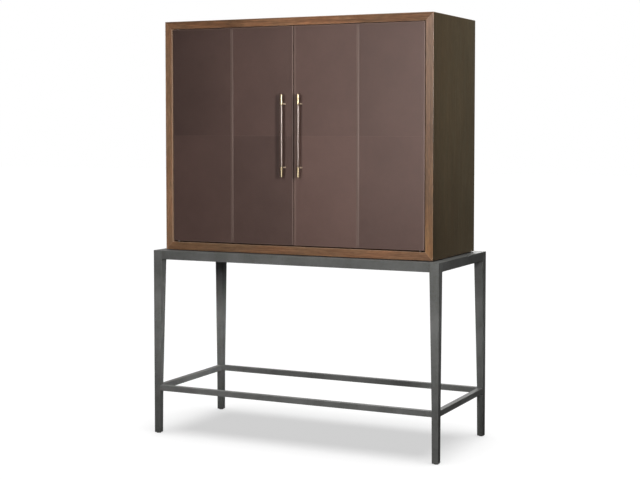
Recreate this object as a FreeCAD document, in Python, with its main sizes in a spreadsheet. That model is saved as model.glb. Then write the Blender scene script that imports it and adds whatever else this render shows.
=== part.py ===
import FreeCAD, Part
import os
import re
import Sketcher

# Bar armoire: a leather-fronted two-door case on an open steel base.
# Origin on the floor under the middle of the base, +Z up, front towards -Y, millimetres.

doc = FreeCAD.newDocument("BarArmoire")
sheet = doc.addObject("Spreadsheet::Sheet", "Dims")

# Driving dimensions: alias, value, what it measures.
dimensions = (
    ("overall_height", 1727, "floor to the top of the case"),
    ("base_width", 1275, "steel base, left to right"),
    ("base_depth", 554, "steel base, front to back"),
    ("base_top", 774, "floor to the top of the apron"),
    ("rail", 39, "leg top, each way, and apron tube, front to back"),
    ("rail_height", 37, "apron tube, up and down"),
    ("tube_wall", 2.5, "wall of the steel tubes"),
    ("steel_round", 1.2, "rounding of the steel edges"),
    ("ankle", 27.5, "leg width at the stretchers"),
    ("ankle_margin", 3, "straight stretch of leg above and below a stretcher"),
    ("leg_foot", 26, "leg width at the floor"),
    ("glide_height", 3, "glide below the leg"),
    ("glide_radius", 10, "glide"),
    ("glide_plug", 20.6, "glide plug inside the leg, each way"),
    ("glide_plug_height", 12, "glide plug"),
    ("stretcher", 23, "stretcher bar, each way"),
    ("stretcher_low", 181, "floor to the underside of a stretcher"),
    ("stretcher_inset", 1.5, "stretcher behind the outer face of the legs"),
    ("cross_width", 40, "cross bar, left to right"),
    ("cross_thick", 12, "cross bar, up and down"),
    ("cross_place", 400, "cross bar from the middle"),
    ("deck", 9, "deck panel on the cross bars, flush with the apron"),
    ("deck_clear", 0.5, "deck panel inside the apron frame"),
    ("bolt_place", 170, "case bolts from the middle, front to back"),
    ("bolt_radius", 4, "case bolt"),
    ("bolt_hole", 4.3, "hole for a case bolt"),
    ("bolt_head_radius", 7, "case bolt head"),
    ("bolt_head", 6, "case bolt head, height"),
    ("bolt_grip", 22, "case bolt in the case bottom"),
    ("spacer_radius", 14, "spacer between base and case"),
    ("case_gap", 3, "shadow gap between base and case"),
    ("case_width", 1196, "case, left to right"),
    ("case_depth", 478, "case, front to back"),
    ("panel", 32, "case board"),
    ("board_ease", 1.2, "easing of the case edges"),
    ("back_thick", 9, "back panel"),
    ("back_lap", 10, "back panel rebate into the case boards"),
    ("back_clear", 0.3, "back panel in its rebate"),
    ("door_gap", 4.2, "beside the doors"),
    ("head_gap", 2, "above the doors"),
    ("foot_gap", 5.5, "below the doors"),
    ("meeting_gap", 2.8, "between the doors"),
    ("door_recess", 2.5, "door face behind the case front"),
    ("leather", 3, "leather tile with its backing"),
    ("tile_round", 2, "rounding of the leather edges"),
    ("tile_gap", 0.6, "between the tile rows"),
    ("strip_width", 12, "leather strip between the tile columns"),
    ("strip_proud", 1, "leather strip proud of the tiles"),
    ("core", 20, "door core board"),
    ("pivot_back", 8, "pivot axis behind the door face"),
    ("pivot_in", 20, "pivot axis from the hinge edge of the door"),
    ("leaf_length", 64, "pivot leaf and socket plate"),
    ("leaf_width", 13, "pivot leaf and socket plate"),
    ("leaf_thick", 3, "pivot leaf and socket plate"),
    ("leaf_end", 8, "pivot leaf from the hinge edge of the door"),
    ("leaf_front", 4.5, "pivot leaf behind the door face"),
    ("pin_radius", 2.5, "pivot pin"),
    ("pin_clear", 0.05, "pivot pin in its socket, radial"),
    ("boss_radius", 3.4, "shoulder under the pivot pin"),
    ("boss_clear", 0.1, "shoulder to the socket plate"),
    ("handle_place", 37, "handle from the middle"),
    ("handle_raise", 0.95, "handle middle above the door middle"),
    ("handle_length", 330, "handle overall"),
    ("post_spacing", 254, "handle posts, centre to centre"),
    ("standoff", 33.5, "handle axis in front of the door face"),
    ("grip_radius", 6, "wrapped grip"),
    ("end_radius", 6.35, "brass end piece"),
    ("end_length", 41, "brass end piece"),
    ("end_round", 1, "rounding of the brass end"),
    ("post_radius", 2.5, "handle post"),
    ("fit_clear", 0.05, "posts and screws in their holes, radial"),
    ("screw_radius", 1.5, "handle screw"),
    ("screw_head_radius", 3.5, "handle screw head"),
    ("screw_head", 2, "handle screw head, height"),
    ("screw_reach", 10, "handle screw in the post"),
    ("drill_past", 1, "blind hole past the end of its screw or bolt"),
    ("inner_clear", 13, "fittings behind the door back"),
    ("board", 20, "shelf and divider boards"),
    ("bar_shelf_low", 1120, "floor to the underside of the bar shelf"),
    ("upper_shelf_low", 1420, "floor to the underside of the upper shelf"),
    ("lower_shelf_low", 958, "floor to the underside of the lower shelf"),
    ("shelf_clear", 1, "adjustable shelf to its neighbours"),
    ("shelf_setback", 12, "adjustable shelf behind the divider front"),
    ("board_round", 2, "rounding of the front edge of a shelf"),
    ("shelf_pin_radius", 2.5, "shelf pin"),
    ("shelf_pin_length", 18, "shelf pin, half in its hole"),
    ("shelf_pin_place", 140, "shelf pins from the middle, front to back"),
    ("slat", 12, "bottle rack boards"),
    ("rack_depth", 330, "bottle rack and stemware rack, front to back"),
    ("stem_pitch", 98, "stemware plates, centre to centre"),
    ("stem_plate", 66, "stemware plate, left to right"),
    ("stem_plate_thick", 4, "stemware plate"),
    ("stem_block", 18, "stemware spacer strip, left to right"),
    ("stem_drop", 24, "stemware spacer strip, up and down"),
    ("catch_place", 70, "magnetic catch from the middle"),
    ("catch_width", 44, "magnetic catch"),
    ("catch_height", 14, "magnetic catch"),
    ("catch_depth", 16, "magnetic catch"),
    ("strike_thick", 1.5, "strike plate"),
    ("catch_clear", 0.4, "strike plate to catch"),
)
for row, (alias, value, meaning) in enumerate(dimensions, 1):
    sheet.set(f"A{row}", meaning)
    sheet.set(f"B{row}", str(value))
    sheet.setAlias(f"B{row}", alias)
doc.recompute()

# Worked-out sizes, as expressions of the driving dimensions.
case_low = "(base_top + case_gap)"
case_height = f"(overall_height - {case_low})"
inside_low = f"({case_low} + panel)"
inside_high = "(overall_height - panel)"
inside_half = "(case_width / 2 - panel)"
face_y = "(door_recess - case_depth / 2)"
core_front_y = f"({face_y} + leather)"
core_back_y = f"({core_front_y} + core)"
inner_y = f"({core_back_y} + inner_clear)"
back_y = "(case_depth / 2 - back_thick)"
door_width = f"({inside_half} - door_gap - meeting_gap / 2)"
door_low = f"({inside_low} + foot_gap)"
door_high = f"({inside_high} - head_gap)"
door_height = f"({door_high} - {door_low})"
handle_y = f"({face_y} - standoff)"
handle_z = f"(({door_low} + {door_high}) / 2 + handle_raise)"
rail_low = "(base_top - rail_height)"
bay_width = f"({inside_half} - board / 2)"

along_x = FreeCAD.Rotation(FreeCAD.Vector(0, 1, 0), 90)
along_y = FreeCAD.Rotation(FreeCAD.Vector(1, 0, 0), -90)
sub_parts = []


def bound(text):
    return re.sub(r"[a-z]\w*", r"Dims.\g<0>", text)


def number(text):
    value = sheet.evalExpression(bound(text))
    return float(getattr(value, "Value", value))


def bind(thing, name, text):
    thing.setExpression(name, bound(text))


def place(thing, corner, turn=None):
    if turn is not None:
        thing.Placement = FreeCAD.Placement(FreeCAD.Vector(), turn)
    for axis, text in zip("xyz", corner):
        bind(thing, f"Placement.Base.{axis}", text)
    return thing


def sub_part(thing, label):
    thing.Label = label
    sub_parts.append(thing)
    return thing


# Solids from primitives and booleans.


def box(size, corner):
    solid = doc.addObject("Part::Box", "Block")
    for name, text in zip(("Length", "Width", "Height"), size):
        bind(solid, name, text)
    return place(solid, corner)


def cylinder(radius, height, base, turn=None):
    solid = doc.addObject("Part::Cylinder", "Rod")
    bind(solid, "Radius", radius)
    bind(solid, "Height", height)
    return place(solid, base, turn)


def together(solids):
    group = doc.addObject("Part::Compound", "Group")
    group.Links = solids
    return group


def fused(solids):
    joined = doc.addObject("Part::MultiFuse", "Joined")
    joined.Shapes = solids
    joined.Refine = True
    return joined


def cut(solid, tools):
    rest = doc.addObject("Part::Cut", "Cut")
    rest.Base = solid
    rest.Tool = together(tools)
    rest.Refine = True
    return rest


# Solids from sketches.


def new_body():
    return doc.addObject("PartDesign::Body", "Body")


def sketch_on(body, role, lift="0"):
    plane = next(p for p in body.Origin.OriginFeatures if p.Role == role)
    sketch = body.newObject("Sketcher::SketchObject", "Sketch")
    sketch.AttachmentSupport = (plane, [""])
    sketch.MapMode = "FlatFace"
    bind(sketch, "AttachmentOffset.Base.z", lift)
    return sketch


def outline(sketch, points):
    # A closed outline whose corners are measured from the sketch origin.
    first = sketch.GeometryCount
    count = len(points)
    corners = [FreeCAD.Vector(number(x), number(y), 0) for x, y in points]
    for i, corner in enumerate(corners):
        sketch.addGeometry(Part.LineSegment(corner, corners[(i + 1) % count]), False)
    for i in range(count):
        following = first + (i + 1) % count
        sketch.addConstraint(Sketcher.Constraint("Coincident", first + i, 2, following, 1))
    for i, point in enumerate(points):
        for kind, axis, text in (("DistanceX", -2, point[0]), ("DistanceY", -1, point[1])):
            if text == "0":
                sketch.addConstraint(Sketcher.Constraint("PointOnObject", first + i, 1, axis))
                continue
            size = Sketcher.Constraint(kind, -1, 1, first + i, 1, number(text))
            bind(sketch, f"Constraints[{sketch.addConstraint(size)}]", text)


def rectangle(sketch, low, high):
    (x0, y0), (x1, y1) = low, high
    outline(sketch, ((x0, y0), (x1, y0), (x1, y1), (x0, y1)))


def pad(body, sketch, length, backwards=False):
    feature = body.newObject("PartDesign::Pad", "Pad")
    feature.Profile = sketch
    feature.Reversed = backwards
    bind(feature, "Length", length)
    return feature


def pocket(body, sketch, depth, backwards):
    # The pocket has to take material away, whichever way its sketch faces.
    doc.recompute()
    before = body.Shape.Volume
    feature = body.newObject("PartDesign::Pocket", "Pocket")
    feature.Profile = sketch
    feature.Reversed = backwards
    bind(feature, "Length", depth)
    doc.recompute()
    if body.Shape.Volume > before - 1:
        raise RuntimeError("a pocket cuts nothing")
    return feature


def rounded(body, feature, radius, wanted):
    doc.recompute()
    names = [f"Edge{i}" for i, edge in enumerate(feature.Shape.Edges, 1) if wanted(edge)]
    rounding = body.newObject("PartDesign::Fillet", "Fillet")
    rounding.Base = (feature, names)
    bind(rounding, "Radius", radius)
    return rounding


def runs_along(axis):
    return lambda edge: abs(edge.tangentAt(edge.FirstParameter)[axis]) > 0.999


def in_plane(axis, level):
    return lambda edge: all(abs(v.Point[axis] - level) < 1e-6 for v in edge.Vertexes)


def bar(axis, size, corner, radius, wall=None):
    # A straight bar or tube along one axis, with its long edges rounded.
    role = ("YZ_Plane", "XZ_Plane", "XY_Plane")[axis]
    across = [size[i] for i in range(3) if i != axis]
    body = new_body()
    section = sketch_on(body, role)
    rectangle(section, ("0", "0"), across)
    solid = pad(body, section, size[axis], backwards=axis == 1)
    rounded(body, solid, radius, runs_along(axis))
    if wall:
        hollow = sketch_on(body, role)
        rectangle(hollow, (wall, wall), [f"({text} - {wall})" for text in across])
        pocket(body, hollow, size[axis], backwards=axis != 1)
    return place(body, corner)


# Steel base.


def eased_square(sketch, width):
    # A square section with its corners taken off.
    near, far = "steel_round", f"({width} - steel_round)"
    lower = (("0", far), ("0", near), (near, "0"), (far, "0"))
    upper = ((width, near), (width, far), (far, width), (near, width))
    outline(sketch, lower + upper)


def leg(label, turn, corner):
    # Square tube with its outer faces upright; the two inner faces taper towards the floor.
    body = new_body()
    ankle_low = "(stretcher_low - ankle_margin)"
    ankle_high = "(stretcher_low + stretcher + ankle_margin)"
    widths = (
        ("glide_height", "leg_foot"),
        (ankle_low, "ankle"),
        (ankle_high, "ankle"),
        (rail_low, "rail"),
        ("base_top", "rail"),
    )
    outer = []
    for level, width in widths:
        section = sketch_on(body, "XY_Plane", level)
        eased_square(section, width)
        outer.append(section)
    loft = body.newObject("PartDesign::AdditiveLoft", "Loft")
    loft.Profile = outer[0]
    loft.Sections = outer[1:]
    loft.Ruled = True
    inner = []
    for level, width in widths:
        section = sketch_on(body, "XY_Plane", level if level != "base_top" else "(base_top - tube_wall)")
        far = f"({width} - tube_wall)"
        rectangle(section, ("tube_wall", "tube_wall"), (far, far))
        inner.append(section)
    hollow = body.newObject("PartDesign::SubtractiveLoft", "Hollow")
    hollow.Profile = inner[0]
    hollow.Sections = inner[1:]
    hollow.Ruled = True
    turned = FreeCAD.Rotation(FreeCAD.Vector(0, 0, 1), turn)
    sub_part(place(body, (*corner, "0"), turned), label)


left, right = "(-base_width / 2)", "(base_width / 2)"
front, back = "(-base_depth / 2)", "(base_depth / 2)"
leg("leg_front_left", 0, (left, front))
leg("leg_front_right", 90, (right, front))
leg("leg_back_right", 180, (right, back))
leg("leg_back_left", 270, (left, back))

apron_long = "(base_width - 2 * rail)"
apron_short = "(base_depth - 2 * rail)"
for side, y in (("front", front), ("back", f"({back} - rail)")):
    size = (apron_long, "rail", "rail_height")
    tube = bar(0, size, (f"(rail + {left})", y, rail_low), "steel_round", "tube_wall")
    sub_part(tube, f"apron_{side}")
for side, x in (("left", left), ("right", f"({right} - rail)")):
    size = ("rail", apron_short, "rail_height")
    tube = bar(1, size, (x, f"(rail + {front})", rail_low), "steel_round", "tube_wall")
    sub_part(tube, f"apron_{side}")

stretcher_long = "(base_width - 2 * ankle)"
stretcher_short = "(base_depth - 2 * ankle)"
stretcher_far = "(stretcher_inset + stretcher)"
for side, y in (("front", f"({front} + stretcher_inset)"), ("back", f"({back} - {stretcher_far})")):
    size = (stretcher_long, "stretcher", "stretcher")
    rod = bar(0, size, (f"({left} + ankle)", y, "stretcher_low"), "steel_round")
    sub_part(rod, f"stretcher_{side}")
for side, x in (("left", f"({left} + stretcher_inset)"), ("right", f"({right} - {stretcher_far})")):
    size = ("stretcher", stretcher_short, "stretcher")
    rod = bar(1, size, (x, f"({front} + ankle)", "stretcher_low"), "steel_round")
    sub_part(rod, f"stretcher_{side}")

bolt_places = [(f"({x} * cross_place)", f"({y} * bolt_place)") for x in (-1, 1) for y in (-1, 1)]
deck_low = "(base_top - deck)"
cross_low = f"({deck_low} - cross_thick)"


def bolt_holes(low, height):
    return [cylinder("bolt_hole", height, (x, y, low)) for x, y in bolt_places]


cross_size = ("cross_width", apron_short, "cross_thick")
cross_corners = [(f"({x} * cross_place - cross_width / 2)", f"(rail + {front})", cross_low) for x in (-1, 1)]
flats = [box(cross_size, corner) for corner in cross_corners]
sub_part(cut(together(flats), bolt_holes(cross_low, "cross_thick")), "cross_bars")

deck_size = (f"({apron_long} - 2 * deck_clear)", f"({apron_short} - 2 * deck_clear)", "deck")
deck_corner = (f"({left} + rail + deck_clear)", f"({front} + rail + deck_clear)", deck_low)
sub_part(cut(box(deck_size, deck_corner), bolt_holes(deck_low, "deck")), "deck_panel")

discs = [cylinder("spacer_radius", "case_gap", (x, y, "base_top")) for x, y in bolt_places]
sub_part(cut(together(discs), bolt_holes("base_top", "case_gap")), "case_spacers")

bolts = [
    fused([
        cylinder("bolt_head_radius", "bolt_head", (x, y, f"({cross_low} - bolt_head)")),
        cylinder("bolt_radius", "(cross_thick + deck + case_gap + bolt_grip)", (x, y, cross_low)),
    ])
    for x, y in bolt_places
]
sub_part(together(bolts), "case_bolts")

glides = []
for x_sign in (-1, 1):
    for y_sign in (-1, 1):
        x = f"({x_sign} * (base_width - leg_foot) / 2)"
        y = f"({y_sign} * (base_depth - leg_foot) / 2)"
        plug_corner = (f"({x} - glide_plug / 2)", f"({y} - glide_plug / 2)", "glide_height")
        plug = box(("glide_plug", "glide_plug", "glide_plug_height"), plug_corner)
        glides.append(fused([cylinder("glide_radius", "glide_height", (x, y, "0")), plug]))
sub_part(together(glides), "glides")


# Case: four boards mitred at the corners, outer face up in their own frame.


def mitred_board(length):
    body = new_body()
    face = sketch_on(body, "XZ_Plane")
    tip = "(panel - board_ease / 2)"
    outline(face, (
        ("panel", "0"),
        (f"({length} - panel)", "0"),
        (f"({length} - board_ease / 2)", tip),
        (f"({length} - board_ease)", "panel"),
        ("board_ease", "panel"),
        ("(board_ease / 2)", tip),
    ))
    solid = pad(body, face, "case_depth", backwards=True)
    rounded(body, solid, "board_ease", runs_along(0))
    rebate = sketch_on(body, "YZ_Plane")
    rectangle(rebate, ("(case_depth - back_thick)", "0"), ("case_depth", "back_lap"))
    pocket(body, rebate, length, backwards=True)
    return body


def turned_about_y(angle):
    return FreeCAD.Rotation(FreeCAD.Vector(0, 1, 0), angle)


pivot_x = f"({inside_half} - door_gap - pivot_in)"
pivot_y = f"({face_y} + pivot_back)"


def leaf_corner(sign, z):
    # Low corner of a pivot leaf, or of the socket plate above or below it.
    outer = f"({inside_half} - door_gap - leaf_end)"
    x = f"(-{outer})" if sign < 0 else f"({outer} - leaf_length)"
    return (x, f"({face_y} + leaf_front)", z)


leaf_size = ("leaf_length", "leaf_width", "leaf_thick")
front_y = "(-case_depth / 2)"
top_board = place(mitred_board("case_width"), ("(-case_width / 2)", front_y, inside_high))
top_mortises = [box(leaf_size, leaf_corner(sign, inside_high)) for sign in (-1, 1)]
sub_part(cut(top_board, top_mortises), "case_top")

bottom_start = ("(case_width / 2)", front_y, inside_low)
bottom_board = place(mitred_board("case_width"), bottom_start, turned_about_y(180))
plate_low = f"({inside_low} - leaf_thick)"
bottom_mortises = [box(leaf_size, leaf_corner(sign, plate_low)) for sign in (-1, 1)]
bolt_bores = bolt_holes(case_low, "(bolt_grip + drill_past)")
sub_part(cut(bottom_board, bottom_mortises + bolt_bores), "case_bottom")

shelf_levels = ("upper_shelf_low", "lower_shelf_low")


def shelf_pin_holes(x, levels):
    # Holes along X for the pins of one board, half the pin deep.
    return [
        cylinder(
            "(shelf_pin_radius + fit_clear)",
            "(shelf_pin_length / 2)",
            (x, f"({y} * shelf_pin_place)", f"({level} - shelf_pin_radius)"),
            along_x,
        )
        for level in levels
        for y in (-1, 1)
    ]


side_board = place(mitred_board(case_height), (f"(-{inside_half})", front_y, case_low), turned_about_y(-90))
sub_part(side_board, "case_side_left")
side_board = place(mitred_board(case_height), (inside_half, front_y, "overall_height"), turned_about_y(90))
sub_part(cut(side_board, shelf_pin_holes(inside_half, shelf_levels)), "case_side_right")

back_reach = "(back_lap - back_clear)"
back_size = (
    f"(2 * ({inside_half} + {back_reach}))",
    "back_thick",
    f"({inside_high} - {inside_low} + 2 * {back_reach})",
)
back_corner = (f"(-{inside_half} - {back_reach})", back_y, f"({inside_low} - {back_reach})")
sub_part(box(back_size, back_corner), "back_panel")


# Bar fittings inside the case.

inside_depth = f"({back_y} - {inner_y})"


def front_rounded_board(size, corner):
    # A shelf with its two long front edges rounded.
    body = new_body()
    section = sketch_on(body, "YZ_Plane")
    rectangle(section, ("0", "0"), (size[1], size[2]))
    solid = pad(body, section, size[0])
    along = runs_along(0)
    at_front = in_plane(1, 0)
    rounded(body, solid, "board_round", lambda edge: along(edge) and at_front(edge))
    return place(body, corner)


bar_shelf_size = (f"(2 * {inside_half})", inside_depth, "board")
bar_shelf = front_rounded_board(bar_shelf_size, (f"(-{inside_half})", inner_y, "bar_shelf_low"))
sub_part(bar_shelf, "bar_shelf")

bar_shelf_top = "(bar_shelf_low + board)"
divider_places = (
    ("upper", bar_shelf_top, f"({inside_high} - {bar_shelf_top})", "upper_shelf_low"),
    ("lower", inside_low, f"(bar_shelf_low - {inside_low})", "lower_shelf_low"),
)
pin_start = "(board / 2 - shelf_pin_length / 2)"
for name, low, height, level in divider_places:
    upright = box(("board", inside_depth, height), ("(-board / 2)", inner_y, low))
    holes = shelf_pin_holes(pin_start, (level,))
    sub_part(cut(upright, holes), f"divider_{name}")
    shelf_size = (
        f"({bay_width} - 2 * shelf_clear)",
        f"({inside_depth} - shelf_setback - shelf_clear)",
        "board",
    )
    shelf_corner = ("(board / 2 + shelf_clear)", f"({inner_y} + shelf_setback)", level)
    sub_part(front_rounded_board(shelf_size, shelf_corner), f"shelf_{name}")

pin_rods = [
    cylinder(
        "shelf_pin_radius",
        "shelf_pin_length",
        (x, f"({y} * shelf_pin_place)", f"({level} - shelf_pin_radius)"),
        along_x,
    )
    for level in shelf_levels
    for y in (-1, 1)
    for x in (pin_start, f"({inside_half} - shelf_pin_length / 2)")
]
sub_part(together(pin_rods), "shelf_pins")

# Bottle rack in the lower left bay: one level board, with short uprights below and above it.
rack_front = f"({inner_y} + shelf_setback)"
rack_row = f"((bar_shelf_low - {inside_low} - slat) / 2)"
rack_columns = 4
rack_cell = f"(({bay_width} - {rack_columns - 1} * slat) / {rack_columns})"
rack_corner = (f"(-{inside_half})", rack_front, f"({inside_low} + {rack_row})")
rack_board = box((bay_width, "rack_depth", "slat"), rack_corner)
sub_part(rack_board, "bottle_rack_board")
rack_uprights = [
    box(
        ("slat", "rack_depth", rack_row),
        (f"({column} * ({rack_cell} + slat) - slat - {inside_half})", rack_front, low),
    )
    for low in (inside_low, f"({inside_low} + {rack_row} + slat)")
    for column in range(1, rack_columns)
]
sub_part(together(rack_uprights), "bottle_rack_uprights")

# Stemware rack under the top of the upper left bay: plates hung on spacer strips.
stem_rows = (-2, -1, 0, 1, 2)
stem_middle = f"(-(board / 2 + {bay_width} / 2))"
stem_block_low = f"({inside_high} - stem_drop)"
stem_plate_low = f"({stem_block_low} - stem_plate_thick)"
blocks = [
    box(
        ("stem_block", "rack_depth", "stem_drop"),
        (f"({stem_middle} + {row} * stem_pitch - stem_block / 2)", rack_front, stem_block_low),
    )
    for row in stem_rows
]
sub_part(together(blocks), "stemware_strips")
plates = [
    box(
        ("stem_plate", "rack_depth", "stem_plate_thick"),
        (f"({stem_middle} + {row} * stem_pitch - stem_plate / 2)", rack_front, stem_plate_low),
    )
    for row in stem_rows
]
sub_part(together(plates), "stemware_plates")


# Pivot hardware: socket plates let into the case, and catches under the case top.

sockets = []
for sign in (-1, 1):
    for z in (inside_high, plate_low):
        bore = cylinder("(pin_radius + pin_clear)", "leaf_thick", (f"({sign} * {pivot_x})", pivot_y, z))
        sockets.append(cut(box(leaf_size, leaf_corner(sign, z)), [bore]))
sub_part(together(sockets), "socket_plates")

catch_y = f"({core_back_y} + strike_thick + catch_clear)"
catch_low = f"({inside_high} - catch_height)"
catch_size = ("catch_width", "catch_depth", "catch_height")
catch_corners = [(f"({sign} * catch_place - catch_width / 2)", catch_y, catch_low) for sign in (-1, 1)]
sub_part(together([box(catch_size, corner) for corner in catch_corners]), "door_catches")


# Doors.

tile_column = f"(({door_width} - strip_width) / 2)"
tile_row = f"(({door_height} - tile_gap) / 2)"
post_levels = [f"({handle_z} + {sign} * post_spacing / 2)" for sign in (-1, 1)]


def leather_panel(width, height, thick, corner):
    # A leather-covered panel with the four edges of its face rounded.
    body = new_body()
    face = sketch_on(body, "XZ_Plane")
    rectangle(face, ("0", "0"), (width, height))
    solid = pad(body, face, thick, backwards=True)
    rounded(body, solid, "tile_round", in_plane(1, 0))
    return place(body, corner)


def handle_end(label, x, tip, direction):
    # Brass end piece: a rod with a rounded tip and a cross hole for its post.
    body = new_body()
    half = sketch_on(body, "XZ_Plane")
    rectangle(half, ("0", "0"), ("end_radius", "end_length"))
    turning = body.newObject("PartDesign::Revolution", "Revolution")
    turning.Profile = half
    turning.ReferenceAxis = (half, ["V_Axis"])
    turning.Angle = 360
    at_tip = in_plane(2, 0)
    rounded(body, turning, "end_round", lambda edge: at_tip(edge) and len(edge.Vertexes) == 1)
    flip = FreeCAD.Rotation(FreeCAD.Vector(1, 0, 0), 0 if direction > 0 else 180)
    place(body, (x, handle_y, tip), flip)
    level = f"({tip} + {direction} * (handle_length - post_spacing) / 2)"
    socket_radius = "(post_radius + fit_clear)"
    socket = cylinder(socket_radius, "(end_radius + fit_clear)", (x, handle_y, level), along_y)
    sub_part(cut(body, [socket]), label)


def door(name, sign):
    low_x = f"(door_gap - {inside_half})" if sign < 0 else "(meeting_gap / 2)"
    handle_x = f"({sign} * handle_place)"
    screw_holes = [
        cylinder("(screw_radius + fit_clear)", "(leather + core)", (handle_x, face_y, level), along_y)
        for level in post_levels
    ]
    leaf_lows = (f"({door_high} - leaf_thick)", door_low)
    mortises = [box(leaf_size, leaf_corner(sign, low)) for low in leaf_lows]
    core_board = box((door_width, "core", door_height), (low_x, core_front_y, door_low))
    sub_part(cut(core_board, mortises + screw_holes), f"door_{name}_core")

    columns = (("outer", "inner") if sign < 0 else ("inner", "outer"))
    for column, x in zip(columns, (low_x, f"({low_x} + {tile_column} + strip_width)")):
        for row, z, hole in (
            ("lower", door_low, screw_holes[0]),
            ("upper", f"({door_low} + {tile_row} + tile_gap)", screw_holes[1]),
        ):
            tile = leather_panel(tile_column, tile_row, "leather", (x, face_y, z))
            if column == "inner":
                tile = cut(tile, [hole])
            sub_part(tile, f"door_{name}_tile_{row}_{column}")
    strip_corner = (f"({low_x} + {tile_column})", f"({face_y} - strip_proud)", door_low)
    strip = leather_panel("strip_width", door_height, "(leather + strip_proud)", strip_corner)
    sub_part(strip, f"door_{name}_strip")

    leaves = []
    for low, rise, start, gap in (
        (leaf_lows[0], 1, door_high, "head_gap"),
        (leaf_lows[1], -1, door_low, "foot_gap"),
    ):
        shoulder = f"({gap} - boss_clear)"
        reach = f"({gap} + leaf_thick - boss_clear)"
        axis = (f"({sign} * {pivot_x})", pivot_y)
        shoulder_z = start if rise > 0 else f"({start} - {shoulder})"
        pin_z = start if rise > 0 else f"({start} - {reach})"
        leaves.append(fused([
            box(leaf_size, leaf_corner(sign, low)),
            cylinder("boss_radius", shoulder, (*axis, shoulder_z)),
            cylinder("pin_radius", reach, (*axis, pin_z)),
        ]))
    sub_part(together(leaves), f"door_{name}_pivots")

    tip_low = f"({handle_z} - handle_length / 2)"
    tip_high = f"({handle_z} + handle_length / 2)"
    handle_end(f"door_{name}_handle_end_lower", handle_x, tip_low, 1)
    handle_end(f"door_{name}_handle_end_upper", handle_x, tip_high, -1)
    grip_low = (handle_x, handle_y, f"({tip_low} + end_length)")
    grip = cylinder("grip_radius", "(handle_length - 2 * end_length)", grip_low)
    sub_part(grip, f"door_{name}_handle_grip")
    posts = []
    screws = []
    for level in post_levels:
        bore_start = (handle_x, f"({face_y} - screw_reach - drill_past)", level)
        bore = cylinder("(screw_radius + fit_clear)", "(screw_reach + drill_past)", bore_start, along_y)
        post = cylinder("post_radius", "standoff", (handle_x, handle_y, level), along_y)
        posts.append(cut(post, [bore]))
        shank_length = "(screw_reach + leather + core)"
        shank_start = (handle_x, f"({face_y} - screw_reach)", level)
        shank = cylinder("screw_radius", shank_length, shank_start, along_y)
        head = cylinder("screw_head_radius", "screw_head", (handle_x, core_back_y, level), along_y)
        screws.append(fused([shank, head]))
    sub_part(together(posts), f"door_{name}_handle_posts")
    sub_part(together(screws), f"door_{name}_handle_screws")

    strike_x = f"({sign} * catch_place - catch_width / 2)"
    strike_corner = (strike_x, core_back_y, f"({door_high} - catch_height)")
    sub_part(box(("catch_width", "strike_thick", "catch_height"), strike_corner), f"door_{name}_strike")


door("left", -1)
door("right", 1)

doc.recompute()
for thing in doc.Objects:
    if {"Invalid", "Error"} & set(thing.State):
        raise RuntimeError(f"{thing.Label} failed: {thing.State}")
for thing in sub_parts:
    if thing.Shape.isNull() or not thing.Shape.isValid():
        raise RuntimeError(f"{thing.Label} has no valid shape")

os.makedirs("parts", exist_ok=True)
for thing in sub_parts:
    thing.Shape.exportStep(f"parts/{thing.Label}.step")
print(len(sub_parts), "sub-parts written")
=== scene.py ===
import math

import bmesh
import bpy
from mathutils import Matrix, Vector, noise


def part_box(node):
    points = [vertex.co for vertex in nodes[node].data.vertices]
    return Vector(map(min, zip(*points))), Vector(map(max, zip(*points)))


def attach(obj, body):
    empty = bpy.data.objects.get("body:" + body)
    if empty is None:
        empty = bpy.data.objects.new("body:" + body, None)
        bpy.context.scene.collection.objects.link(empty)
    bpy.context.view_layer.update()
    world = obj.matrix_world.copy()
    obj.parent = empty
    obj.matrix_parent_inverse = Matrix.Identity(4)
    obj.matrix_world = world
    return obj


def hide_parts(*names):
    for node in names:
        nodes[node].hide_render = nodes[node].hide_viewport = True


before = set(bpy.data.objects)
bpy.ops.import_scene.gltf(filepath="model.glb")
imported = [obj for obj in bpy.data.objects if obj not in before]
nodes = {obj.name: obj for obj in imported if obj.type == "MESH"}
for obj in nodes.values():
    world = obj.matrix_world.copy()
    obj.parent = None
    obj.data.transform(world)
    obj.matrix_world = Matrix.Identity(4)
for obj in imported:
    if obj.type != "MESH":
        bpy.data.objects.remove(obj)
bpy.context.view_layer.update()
scene = bpy.context.scene
scene.view_settings.view_transform = "Standard"
print("frame loaded:", len(nodes), "nodes")

bothSides = ("left", "right")
baseSides = ("front", "back", "left", "right")
touching = 1e-6                        # metres, what lies closer than this touches
plainWhite = (1.0, 1.0, 1.0)


# Small helpers for node trees

def node(tree, kind, inputs=None, **settings):
    made = tree.nodes.new("ShaderNode" + kind)
    for name, value in settings.items():
        setattr(made, name, value)
    for name, value in (inputs or {}).items():
        feed(tree, made.inputs[name], value)
    return made


def feed(tree, socket, value):
    if isinstance(value, bpy.types.NodeSocket):
        tree.links.new(value, socket)
    else:
        socket.default_value = value


def emptied(owner):
    owner.use_nodes = True
    owner.node_tree.nodes.clear()
    return owner.node_tree


def colour(rgb):
    return (*rgb, 1.0)


def toned(rgb, tone):
    return tuple(channel * tone for channel in rgb)


def maths(tree, operation, first, second=0.0, clamp=False):
    made = node(tree, "Math", {0: first, 1: second}, operation=operation, use_clamp=clamp)
    return made.outputs["Value"]


def weighed(tree, first, second, weights):
    parts = [maths(tree, "MULTIPLY", part, weight) for part, weight in zip((first, second), weights)]
    return maths(tree, "ADD", *parts)


def vectorMaths(tree, operation, *values):
    made = node(tree, "VectorMath", dict(enumerate(values)), operation=operation)
    return made.outputs["Value" if operation == "DOT_PRODUCT" else "Vector"]


mixSockets = {"factor": 0, "first": 6, "second": 7, "mixed": 2}       # the Mix node's places for colours


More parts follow.
